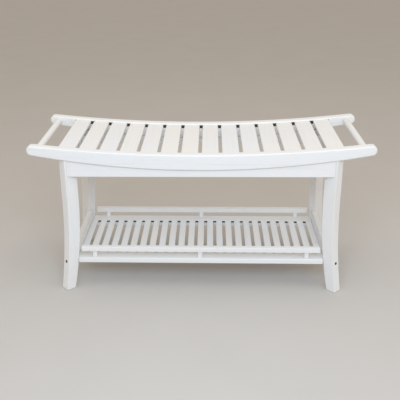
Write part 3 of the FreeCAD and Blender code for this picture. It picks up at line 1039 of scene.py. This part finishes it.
@dataclass
class Joinery:
    """One sub-assembly of painted wooden pieces.

    Attributes:
        palette: The finishes.
    """

    palette: Palette

    def make(self, form: Form, grain: Grain, node: str, hollows: Sequence[Form] = ()) -> None:
        """Shape one piece, paint it and let it stand for its solid.

        Args:
            form: The piece's shape.
            grain: Axis of its fibres.
            node: Name of the solid.
            hollows: Holes and grooves that are cut in it.
        """
        piece = form.solid("painted_" + node)
        paint = self.palette.paint[grain]
        if hollows:
            hollow_out(piece, hollows, paint, self.palette.cut)
        dress(piece, paint, PAINT_SLOT, node)

    def lay(self, row: SlatRow, name: str, sizes: dict[str, Any], *nodes: str) -> None:
        """Lay a row of slats, paint them and let them stand for their solids.

        Args:
            row: The node tree that makes them.
            name: The row's name.
            sizes: The tree's inputs by name, without the paint.
            nodes: Names of the solids.
        """
        paint = self.palette.paint[Grain.Y]
        slats = row.piece(bpy.data.meshes.new(name), {**sizes, "Paint": paint})
        dress(slats, paint, PAINT_SLOT, *nodes)


@dataclass
class SeatFrame(Joinery):
    """Seat rails, aprons and handle bars, and the arcs that they share with the slats and legs."""

    screws: Screws
    height: float = 0.442             # rails' top edge at mid length
    dish: float = 0.0275
    rail_middle: float = 0.0483
    rail_tip: float = 0.030
    nose_depth: float = 0.013
    nose_flat_share: float = 0.16     # of the nose's half height, left flat at the very tip
    slat_recess: float = 0.006
    slat_thickness: float = 0.010
    slat_count: int = 14
    fit: float = 0.0002
    apron_screw_count: int = 4
    apron_screw_length: float = 0.032
    apron_screw_bite: float = 0.018   # into a rail
    screw_hole: float = 0.0083        # wide enough for a head
    groove_depth: float = 0.007       # in a rail's inner face, for the slats' ends
    rail_arris: float = 0.005
    apron_arris: float = 0.0012
    end_zone: float = 0.03            # stretch of an apron that takes its mitre
    stations: int = 49
    nose_stations: int = 9
    bar_tenon: float = 0.014
    bar_steps: int = 48
    bar_stations: int = 9             # along a bar's straight middle
    bar_ease: float = 0.0012

    def __post_init__(self) -> None:
        """Work out the shared arcs from the solids' boxes."""
        low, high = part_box("seat_rail_back")
        self.half_length = high.x
        self.rail_outer = high.y
        self.rail_inner = low.y
        self.nose_x = self.half_length - self.nose_depth
        self.top = Arch.over(self.height, self.nose_x, self.dish)
        belly = self.dish + self.rail_middle - self.rail_tip
        self.bottom = Arch.over(self.height - self.rail_middle, self.nose_x, belly)
        self.slat_top = self.top.lowered(self.slat_recess)
        self.under_slats = self.slat_top.lowered(self.slat_thickness + self.fit)
        middle = self.slat_count // 2
        first, second = [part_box(f"seat_slat_{number:02d}") for number in (middle, middle + 1)]
        step = (sum(second, Vector()) - sum(first, Vector())).x / 2
        self.slat_turn = step / (self.slat_top.radius + self.slat_thickness / 2)
        self.pitch = self.slat_turn * self.top.radius

    def build(self) -> None:
        """Make every board of the seat's frame, and its screws."""
        for face in Face:
            self.rail(face)
            self.apron(face)
        for side in Side:
            self.end_apron(side)
            self.handle_bar(side)
        places = [place for face in Face for place in self.apron_screw_places(face)]
        self.screws.drive("apron_screws", places, self.apron_screw_length)

    def apron_screw_places(self, face: Face) -> list[Aimed]:
        """Where screws go up through an apron into its rail, two slats apart.

        Args:
            face: Long side of the apron.

        Returns:
            Point under each head, and the direction of its shank.
        """
        low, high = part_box(f"apron_{word(face)}")
        reach = (self.apron_screw_count - 1) * self.pitch
        places = []
        for x in spread(-reach, reach, self.apron_screw_count):
            z = self.bottom.height(x) + self.apron_screw_bite - self.apron_screw_length
            places.append((Vector((x, (low.y + high.y) / 2, z)), UP))
        return places

    def rail(self, face: Face) -> None:
        """Long rail: dished top, deeper belly and round noses.

        Args:
            face: Long side that it belongs to.
        """
        half_tip = self.rail_tip / 2
        radius = arch_radius(half_tip, self.nose_depth)
        middle = self.height + self.dish - half_tip
        widest = math.asin(half_tip / radius)
        flat = math.asin(half_tip * self.nose_flat_share / radius)
        nose = [(self.half_length - radius + radius * math.cos(turn), radius * math.sin(turn))
                for turn in spread(flat, widest, self.nose_stations)]
        lower, upper = [], []
        for x, climb in nose[:-1]:
            lower.append((-x, middle - climb))
            upper.append((-x, middle + climb))
        for x in spread(-self.nose_x, self.nose_x, self.stations):
            lower.append((x, self.bottom.height(x)))
            upper.append((x, self.top.height(x)))
        for x, climb in reversed(nose[:-1]):
            lower.append((x, middle - climb))
            upper.append((x, middle + climb))
        rail = Board(lower + upper[::-1], self.rail_outer - self.rail_inner, self.rail_arris,
                     upright(face, self.rail_outer), ladder=True)
        self.make(rail, Grain.X, f"seat_rail_{word(face)}", [self.groove(face)])

    def groove(self, face: Face) -> Board:
        """Groove in a rail's inner face that houses the slats' ends, closed beyond the outermost ones.

        Args:
            face: Long side of the rail.

        Returns:
            What is taken out of the rail.
        """
        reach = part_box(f"seat_slat_{self.slat_count:02d}")[1].x + self.fit
        line = spread(-reach, reach, self.stations)
        outline = band(self.under_slats, self.slat_top.lowered(-self.fit), line)
        floor = self.rail_inner + self.groove_depth
        return Board(outline, 2 * self.groove_depth, self.fit, upright(face, floor), ladder=True)

    def apron(self, face: Face) -> None:
        """Apron that fills under a rail, mitred against the legs' wide faces.

        Args:
            face: Long side that it belongs to.
        """
        node = f"apron_{word(face)}"
        low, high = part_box(node)
        outer = max(abs(low.y), abs(high.y))
        line = spread(low.x, high.x, self.stations)
        outline = [(x, low.z) for x in line] + [(x, self.bottom.height(x)) for x in line[::-1]]

        def place(u: float, v: float, w: float) -> Vector:
            """Draw the ends in with depth, at the mitre's 45 degrees."""
            pull = max(abs(u) - high.x + self.end_zone, 0.0) / self.end_zone
            return Vector((u - math.copysign(w * pull, u), face.value * (outer - w), v))

        holes = [hole(spot, -UP, 2 * (spot.z - low.z), self.screw_hole)
                 for spot, aim in self.apron_screw_places(face)]
        self.make(Board(outline, high.y - low.y, self.apron_arris, place, ladder=True), Grain.X, node, holes)

    def end_apron(self, side: Side) -> None:
        """Apron between a front and a back leg, its top under the outermost slat.

        Args:
            side: End that it belongs to.
        """
        node = f"apron_{word(side)}"
        low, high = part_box(node)
        inner, outer = sorted((abs(low.x), abs(high.x)))
        long, short = high.y, high.y - (outer - inner)
        outline = [(inner, -short), (outer, -long), (outer, long), (inner, short)]

        def place(u: float, v: float, w: float) -> Vector:
            """Stand the board up from its bottom edge, its top cut along the dish."""
            return Vector((side.value * u, v, min(low.z + w, self.under_slats.height(u))))

        self.make(Board(outline, high.z - low.z, self.apron_arris, place), Grain.Y, node)

    def handle_bar(self, side: Side) -> None:
        """Round bar between the rails' tips, with a shouldered tenon at each end.

        Args:
            side: End that it belongs to.
        """
        node = f"handle_bar_{word(side)}"
        low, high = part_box(node)
        radius = (high.x - low.x) / 2
        tenon = self.bar_tenon / 2
        start = Vector(((low.x + high.x) / 2, low.y, (low.z + high.z) / 2))
        shoulder = high.y - self.rail_inner + self.fit
        length = high.y - low.y
        profile = [(0.0, tenon), (shoulder, tenon), (shoulder, radius - self.bar_ease),
                   (shoulder + self.bar_ease, radius)]
        middle = spread(shoulder * 2, length - shoulder * 2, self.bar_stations)
        profile += [(along, radius) for along in middle]
        profile += [(length - shoulder - self.bar_ease, radius), (length - shoulder, radius - self.bar_ease),
                    (length - shoulder, tenon), (length, tenon)]
        self.make(Turned(profile, start, BACKWARDS, self.bar_steps), Grain.Y, node)


@dataclass
class SeatDeck(Joinery):
    """The slats of the seat."""

    rows: SlatRow
    frame: SeatFrame
    gap: float = 0.010
    arris: float = 0.003
    seed: int = 4

    def build(self) -> None:
        """Lay the slats along the dish, their ends in the rails' grooves."""
        nodes = [f"seat_slat_{number:02d}" for number in range(1, self.frame.slat_count + 1)]
        low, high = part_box(nodes[0])
        arc = self.frame.slat_top
        self.lay(self.rows, "painted_seat_slats", {
            "Count": self.frame.slat_count, "Pitch": self.frame.slat_turn * arc.radius, "Radius": arc.radius,
            "Height": arc.low, "Width": self.frame.pitch - self.gap, "Thickness": self.frame.slat_thickness,
            "Length": high.y - low.y, "Arris": self.arris, "Seed": self.seed}, *nodes)


@dataclass
class LegSet(Joinery):
    """Four legs that stand in the diagonal of each corner, and the blocks that hold them."""

    frame: SeatFrame
    thickness: float = 0.029
    top_width: float = 0.042
    foot_width: float = 0.032
    flare: float = 0.026
    bend_height: float = 0.285
    arris: float = 0.0022
    block_arris: float = 0.0015
    bolt_hole: float = 0.0093
    bolt_sink: float = 0.013
    straight_stations: int = 4
    flare_stations: int = 18

    def __post_init__(self) -> None:
        """Find the corner lines and arcs from the solids' boxes."""
        low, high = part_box("leg_back_right")
        self.corner = (high.x - (self.flare + self.thickness) * DIAGONAL, high.y - self.flare * DIAGONAL)
        self.top = high.z
        self.outer_radius = arch_radius(self.bend_height, self.flare)
        self.inner_radius = arch_radius(self.bend_height, self.flare + self.top_width - self.foot_width)
        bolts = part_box("shelf_bolts")
        self.bolt_height = (bolts[0].z + bolts[1].z) / 2

    def outer(self, height: float) -> float:
        """How far out along the diagonal the leg's outer edge lies at a height."""
        return arch_rise(self.outer_radius, max(self.bend_height - height, 0.0))

    def inner(self, height: float) -> float:
        """How far out along the diagonal the leg's inner edge lies at a height."""
        return arch_rise(self.inner_radius, max(self.bend_height - height, 0.0)) - self.top_width

    def point(self, side: Side, face: Face, out: float, across: float, height: float) -> Vector:
        """Point of a leg, out along its diagonal and across its thickness from the front corner.

        Args:
            side: End that the leg stands at.
            face: Long side that the leg stands at.
            out: Distance outwards along the diagonal.
            across: Distance across the leg's thickness.
            height: Height above the floor.

        Returns:
            The point in the bench's frame.
        """
        x = self.corner[0] + (out + across) * DIAGONAL
        y = self.corner[1] + (out - across) * DIAGONAL
        return Vector((side.value * x, face.value * y, height))

    def build(self) -> None:
        """Make the legs and their corner blocks."""
        for face in Face:
            for side in Side:
                self.leg(side, face)
                self.corner_block(side, face)

    def leg(self, side: Side, face: Face) -> None:
        """Board with a flared foot, its top shaped to the rail's underside and a hole for its shelf bolt.

        Args:
            side: End that its corner lies at.
            face: Long side that its corner lies at.
        """
        heights = spread(0.0, self.bend_height, self.flare_stations)
        heights += spread(self.bend_height, self.top, self.straight_stations)[1:]
        outline = [(z, self.inner(z)) for z in heights] + [(z, self.outer(z)) for z in heights[::-1]]

        def place(u: float, v: float, w: float) -> Vector:
            """Stand the board in its corner, cut off at the rail's underside."""
            spot = self.point(side, face, v, w, u)
            return Vector((spot.x, spot.y, min(u, self.frame.bottom.height(spot.x))))

        leg = Board(softened(outline, self.arris * CORNER_SHARE), self.thickness, self.arris, place,
                    ladder=True)
        out = self.outer(self.bolt_height)
        seat = self.point(side, face, out - self.bolt_sink, self.thickness / 2, self.bolt_height)
        outwards = Vector((side.value * DIAGONAL, face.value * DIAGONAL, 0.0))
        sink = hole(seat, outwards, 2 * self.bolt_sink, self.bolt_hole)
        self.make(leg, Grain.Z, f"leg_{word(face)}_{word(side)}", [sink])

    def corner_block(self, side: Side, face: Face) -> None:
        """Block across a corner, behind the leg's inner edge, between the two aprons.

        Args:
            side: End that its corner lies at.
            face: Long side that its corner lies at.
        """
        node = f"corner_block_{word(face)}_{word(side)}"
        low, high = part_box(node)
        near_x, far_x = sorted((abs(low.x), abs(high.x)))
        far_y = max(abs(low.y), abs(high.y))
        reach = sum(self.corner) - (self.top_width + self.frame.fit) / DIAGONAL
        depth = near_x + far_y
        plan = [(near_x, far_y), (far_x, depth - far_x), (far_x, reach - far_x), (reach - far_y, far_y)]
        block = Board(plan, high.z - low.z, self.block_arris, standing(low.z, side.value, face.value))
        self.make(block, Grain.Z, node)


@dataclass
class Shelf(Joinery):
    """Stretchers, ledgers, slats and end boards of the shelf, and the gallery along both its long sides."""

    rows: SlatRow
    screws: Screws
    legs: LegSet
    slat_count: int = 25
    slat_gap: float = 0.0103
    slat_arris: float = 0.0018
    flat_radius: float = 1.0e5        # so long that the row is flat
    seed: int = 11
    board_arris: float = 0.002
    strip_arris: float = 0.001
    rail_arris: float = 0.002
    post_arris: float = 0.0015
    post_count: int = 3
    screw_sink: float = 0.003         # of the gallery screws' heads in a stretcher
    nut: float = 0.010                # diameter of a barrel nut
    nut_hole: float = 0.0103
    groove_height: float = 0.0055     # in a stretcher's inner edge, up from the slats' undersides
    groove_depth: float = 0.005

    def __post_init__(self) -> None:
        """Work out the slats' spacing from the row's box."""
        self.row_low, self.row_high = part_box("shelf_slats")
        self.pitch = (self.row_high.x - self.row_low.x + self.slat_gap) / self.slat_count

    def build(self) -> None:
        """Make the shelf from its long boards to its small fence."""
        for face in Face:
            self.stretcher(face)
            self.bar(f"shelf_ledger_{word(face)}", self.strip_arris, Grain.X)
            self.bar(f"gallery_rail_{word(face)}", self.rail_arris, Grain.X)
            for node in self.posts(face):
                self.bar(node, self.post_arris, Grain.Z)
        for side in Side:
            self.end_board(side)
        self.slats()
        low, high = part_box("gallery_screws")
        places = [place for face in Face for place in self.gallery_screw_places(face)]
        self.screws.drive("gallery_screws", places, high.z - low.z - self.screws.head_height)

    def posts(self, face: Face) -> list[str]:
        """Names of the posts under one gallery rail."""
        return [f"gallery_post_{word(face)}_{number}" for number in range(1, self.post_count + 1)]

    def gallery_screw_places(self, face: Face) -> list[Aimed]:
        """Where screws go up through a stretcher and its posts into the gallery rail.

        Args:
            face: Long side of the stretcher.

        Returns:
            Point under each head, and the direction of its shank.
        """
        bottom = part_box(f"shelf_stretcher_{word(face)}")[0].z
        places = []
        for node in self.posts(face):
            middle = sum(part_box(node), Vector()) / 2
            places.append((Vector((middle.x, middle.y, bottom + self.screw_sink)), UP))
        return places

    def stretcher_holes(self, face: Face) -> list[Form]:
        """Holes in a stretcher's underside, for the gallery screws' heads and the barrel nuts.

        Args:
            face: Long side of the stretcher.

        Returns:
            What is drilled out of the stretcher.
        """
        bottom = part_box(f"shelf_stretcher_{word(face)}")[0].z
        holes = [hole(spot, -UP, 2 * self.screw_sink, self.legs.frame.screw_hole)
                 for spot, aim in self.gallery_screw_places(face)]
        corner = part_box("shelf_barrel_nuts")[1] - Vector((self.nut / 2, self.nut / 2, -self.legs.frame.fit))
        for side in Side:
            spot = Vector((side.value * corner.x, face.value * corner.y, corner.z))
            holes.append(hole(spot, -UP, 2 * (spot.z - bottom), self.nut_hole))
        return holes

    def clip(self, height: float) -> float:
        """Sum of |x| and |y| on the legs' inner edge at a height, where the shelf's corners end."""
        return sum(self.legs.corner) + (self.legs.inner(height) - self.legs.frame.fit) / DIAGONAL

    def bar(self, node: str, arris: float, grain: Grain) -> None:
        """Straight bar that fills its solid's box, with all its edges eased.

        Args:
            node: Name of the solid.
            arris: Radius of the eased edges.
            grain: Axis of its fibres.
        """
        low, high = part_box(node)
        outline = [(low.x, low.y), (high.x, low.y), (high.x, high.y), (low.x, high.y)]
        eased = softened(outline, arris * CORNER_SHARE)
        self.make(Board(eased, high.z - low.z, arris, standing(low.z)), grain, node)

    def stretcher(self, face: Face) -> None:
        """Flat board along the shelf, its ends notched round the legs' inner edges.

        Args:
            face: Long side that it belongs to.
        """
        node = f"shelf_stretcher_{word(face)}"
        low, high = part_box(node)
        inner, outer = sorted((abs(low.y), abs(high.y)))
        clip = self.clip(high.z)
        half = high.x
        tip = self.legs.corner[0] + self.legs.inner(high.z) * DIAGONAL - self.legs.frame.fit
        plan = [(-half, inner), (half, inner), (half, clip - half), (tip, clip - tip),
                (tip, outer), (-tip, outer), (-tip, clip - tip), (-half, clip - half)]
        board = Board(plan, high.z - low.z, self.board_arris, standing(low.z, face=face.value))
        self.make(board, Grain.X, node, self.stretcher_holes(face) + [self.groove(face, inner)])

    def groove(self, face: Face, edge: float) -> Board:
        """Groove in a stretcher's inner edge, dark between the slats, which ends behind the last ones.

        Args:
            face: Long side of the stretcher.
            edge: Distance of its inner edge from the bench's middle.

        Returns:
            What is taken out of the stretcher.
        """
        reach = self.row_high.x - self.pitch / 2
        bottom = self.row_low.z
        top = bottom + self.groove_height
        outline = [(-reach, bottom), (reach, bottom), (reach, top), (-reach, top)]
        floor = edge + self.groove_depth
        return Board(outline, 2 * self.groove_depth, self.strip_arris, upright(face, floor))

    def end_board(self, side: Side) -> None:
        """Upright board at an end of the shelf, its ends following the legs' curved inner edges.

        Args:
            side: End that it belongs to.
        """
        node = f"shelf_end_board_{word(side)}"
        low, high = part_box(node)
        inner, outer = sorted((abs(low.x), abs(high.x)))
        base = self.clip(low.z)
        plan = [(inner, inner - base), (outer, outer - base), (outer, base - outer), (inner, base - inner)]

        def place(u: float, v: float, w: float) -> Vector:
            """Draw the ends in with height, along the legs."""
            pull = base - self.clip(low.z + w)
            return Vector((side.value * u, v - math.copysign(pull, v), low.z + w))

        self.make(Board(plan, high.z - low.z, self.board_arris, place), Grain.Y, node)

    def slats(self) -> None:
        """The narrow slats between the stretchers."""
        low, high = self.row_low, self.row_high
        self.lay(self.rows, "painted_shelf_slats", {
            "Count": self.slat_count, "Pitch": self.pitch, "Radius": self.flat_radius, "Height": high.z,
            "Width": self.pitch - self.slat_gap, "Thickness": high.z - low.z, "Length": high.y - low.y,
            "Arris": self.slat_arris, "Seed": self.seed}, "shelf_slats")


# Studio

@dataclass(frozen=True)
class Lamp:
    """One soft rectangular lamp.

    Attributes:
        name: What it is called in the studio.
        place: Where it hangs.
        size: Width and height of its face.
        watts: Its power.
        colour: The colour of its light.
    """

    name: str
    place: tuple[float, float, float]
    size: tuple[float, float]
    watts: float
    colour: str


@dataclass
class Studio:
    """Pale floor, soft lamps and the camera."""

    palette: Palette
    lamps: tuple[Lamp, ...] = (
        Lamp("overhead", (0.0, -0.6, 3.0), (3.0, 2.4), 19.0, "#FFFFFB"),
        Lamp("near_front", (0.0, -1.8, 1.45), (1.2, 0.6), 22.0, "#CAE3FF"),
        Lamp("right_lamp", (2.4, -1.6, 1.3), (1.6, 1.6), 8.0, "#F7F8FF"),
    )
    aim: tuple[float, float, float] = (0.0, 0.0, 0.3)
    sky: str = "#FFF5EA"
    sky_strength: float = 0.65
    floor_reach: float = 60.0
    floor_cells: int = 2              # along each side of the floor's mesh
    floor_drop: float = 0.0002        # below the feet
    picture: float = 400.0            # pixels across the square picture
    focal_pixels: float = 669.96
    centre_pixel: float = 180.0       # picture column that the lens looks at
    sensor: float = 36.0
    eye: tuple[float, float, float] = (0.030139, -2.003909, 1.066867)
    yaw: float = -2.779               # degrees
    pitch: float = 22.668
    roll: float = 0.85

    def build(self) -> None:
        """Set up the floor, the light and the camera."""
        self.floor()
        self.world()
        for lamp in self.lamps:
            self.hang(lamp)
        self.camera()
        bpy.context.scene.view_settings.view_transform = "Standard"

    def floor(self) -> None:
        """Lay the floor just under the feet."""
        shape = bmesh.new()
        bmesh.ops.create_grid(shape, x_segments=self.floor_cells, y_segments=self.floor_cells,
                              size=self.floor_reach, matrix=Matrix.Translation(-UP * self.floor_drop))
        floor = new_piece("studio_floor", mesh_from("studio_floor", shape))
        floor.data.materials.append(self.palette.floor)

    def world(self) -> None:
        """Fill the room with even light."""
        world = bpy.data.worlds.new("studio_sky")
        bpy.context.scene.world = world
        world.use_nodes = True
        back = world.node_tree.nodes["Background"]
        back.inputs["Color"].default_value = linear(self.sky)
        back.inputs["Strength"].default_value = self.sky_strength

    def hang(self, lamp: Lamp) -> None:
        """Hang one lamp, turned to the bench.

        Args:
            lamp: Its place, size, power and colour.
        """
        light = bpy.data.lights.new(lamp.name, "AREA")
        light.shape = "RECTANGLE"
        light.size, light.size_y = lamp.size
        light.energy = lamp.watts
        light.color = linear(lamp.colour)[:3]
        holder = bpy.data.objects.new(lamp.name, light)
        bpy.context.scene.collection.objects.link(holder)
        place = Vector(lamp.place)
        turn = (Vector(self.aim) - place).to_track_quat("-Z", "Y")
        holder.matrix_world = Matrix.Translation(place) @ turn.to_matrix().to_4x4()

    def camera(self) -> None:
        """Stand the camera where the picture was taken from, in front and a little above."""
        yaw, pitch, roll = [math.radians(angle) for angle in (self.yaw, self.pitch, self.roll)]
        ahead = Vector((math.sin(yaw) * math.cos(pitch), math.cos(yaw) * math.cos(pitch), -math.sin(pitch)))
        level = Vector((math.cos(yaw), -math.sin(yaw), 0.0))
        below = ahead.cross(level)
        right = level * math.cos(roll) + below * math.sin(roll)
        down = below * math.cos(roll) - level * math.sin(roll)
        lens = bpy.data.cameras.new("camera")
        lens.sensor_width = self.sensor
        lens.lens = self.focal_pixels / self.picture * self.sensor
        lens.shift_x = (self.picture / 2 - self.centre_pixel) / self.picture
        camera = bpy.data.objects.new("camera", lens)
        bpy.context.scene.collection.objects.link(camera)
        camera.matrix_world = (Matrix.Translation(Vector(self.eye))
                               @ Matrix((right, -down, -ahead)).transposed().to_4x4())
        bpy.context.scene.camera = camera


# The whole

def finish_solids(palette: Palette) -> None:
    """Give the solids that stay as they are their own finishes.

    Args:
        palette: The finishes.
    """
    for names, material in ((STEEL_NODES, palette.steel), (BEECH_NODES, palette.beech)):
        for name in names:
            solid = frame["nodes"][name]
            solid.data.materials.clear()
            solid.data.materials.append(material)
            LOG.info("%s keeps its solid in %s", name, material.name)


def main() -> None:
    """Build the studio and the bench, piece by piece."""
    logging.basicConfig(level=logging.INFO, format="%(name)s: %(message)s")
    palette = Palette()
    Studio(palette).build()
    rows = SlatRow()
    screws = Screws(palette, ScrewRow())
    seat = SeatFrame(palette, screws)
    seat.build()
    SeatDeck(palette, rows, seat).build()
    legs = LegSet(palette, seat)
    legs.build()
    Shelf(palette, rows, screws, legs).build()
    finish_solids(palette)


if __name__ == "__main__":
    main()
